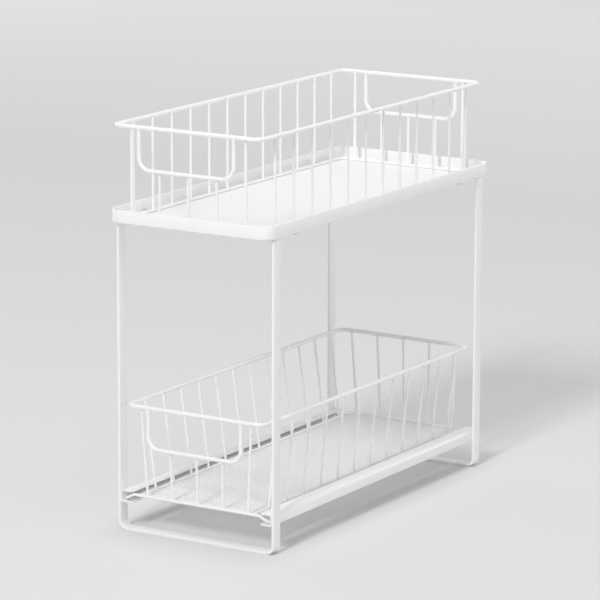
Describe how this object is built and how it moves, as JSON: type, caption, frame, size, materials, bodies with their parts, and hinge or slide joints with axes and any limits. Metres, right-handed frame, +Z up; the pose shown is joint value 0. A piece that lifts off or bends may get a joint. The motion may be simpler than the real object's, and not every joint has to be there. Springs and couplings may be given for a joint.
{
  "type": "under sink organizer",
  "caption": "Narrow free-standing two-tier steel organizer: a tray with a fixed wire rack over a wire basket that slides out on rails.",
  "frame": {"origin": "on the floor, under the middle of the tray", "axes": "+Z up; +X to the right along the narrow front; the front faces -Y, the way the basket slides out"},
  "size_m": [0.178, 0.4223, 0.3952],
  "materials": {
    "powder_coat": "smooth satin white powder coat",
    "zinc": "bright zinc plate"
  },
  "bodies": {
    "stand": {"top_tray": "powder_coat", "front_leg_frame": "powder_coat", "rear_leg_frame": "powder_coat", "left_rail": "powder_coat", "right_rail": "powder_coat", "rack_rim": "powder_coat", "rack_base_ring": "powder_coat", "rack_front_handle": "powder_coat", "rack_rear_handle": "powder_coat", "rack_left_wires": "powder_coat", "rack_right_wires": "powder_coat", "rack_front_left_post": "powder_coat", "rack_front_right_post": "powder_coat", "rack_rear_left_post": "powder_coat", "rack_rear_right_post": "powder_coat", "rack_front_short_wires": "powder_coat", "rack_rear_short_wires": "powder_coat", "rack_lugs": "powder_coat", "tray_screws": "zinc", "tray_nuts": "zinc"},
    "basket": {"basket_rim": "powder_coat", "basket_handle": "powder_coat", "basket_left_wires": "powder_coat", "basket_right_wires": "powder_coat", "basket_front_left_post": "powder_coat", "basket_front_right_post": "powder_coat", "basket_front_short_wires": "powder_coat", "basket_rear_wires": "powder_coat", "basket_base_frame": "powder_coat", "basket_slide_frame": "powder_coat", "basket_cross_wires": "powder_coat", "basket_floor_mesh": "powder_coat"}
  },
  "joints": [
    {"name": "basket_slide", "type": "slide", "parent": "stand", "child": "basket", "axis": [0, -1, 0], "range_m": [0, 0.28]}
  ]
}
